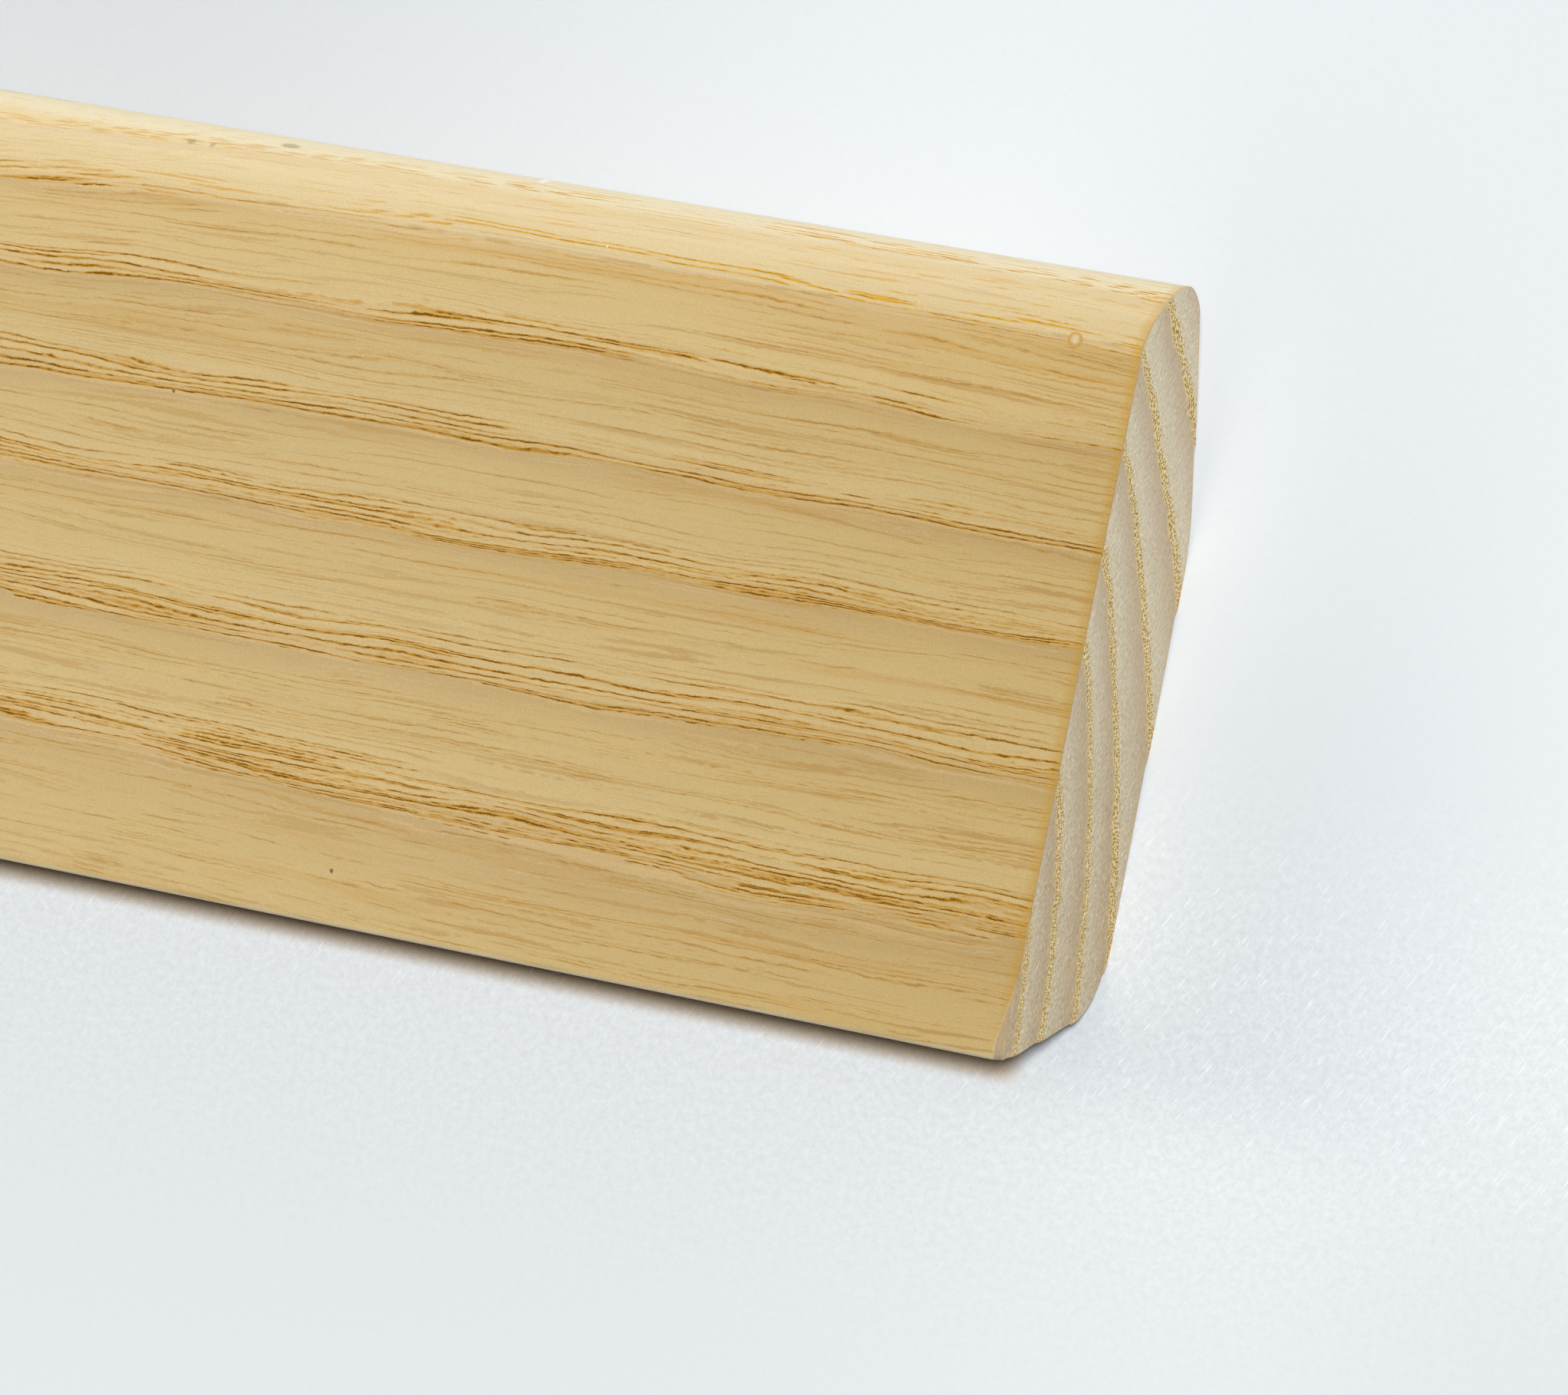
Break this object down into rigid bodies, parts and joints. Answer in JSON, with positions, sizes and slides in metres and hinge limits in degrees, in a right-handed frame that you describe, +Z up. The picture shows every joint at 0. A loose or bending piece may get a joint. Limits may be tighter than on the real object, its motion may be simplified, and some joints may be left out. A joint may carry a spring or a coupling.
{
  "type": "skirting board length",
  "caption": "Straight length of solid wood skirting moulding with a flat lacquered face, rounded top, bevelled floor edge and bevelled wall side, ends sawn square.",
  "frame": {"origin": "middle of the length and of the width, on the plane of the flat back it lies on", "axes": "+X along the length, +Y across the show face from the toe to the rounded top, +Z up, out of the show face"},
  "size_m": [2.4, 0.065, 0.016],
  "materials": {
    "lacquered_ash": "satin lacquer"
  },
  "bodies": {
    "root": {"skirting_board": "lacquered_ash"}
  },
  "joints": []
}
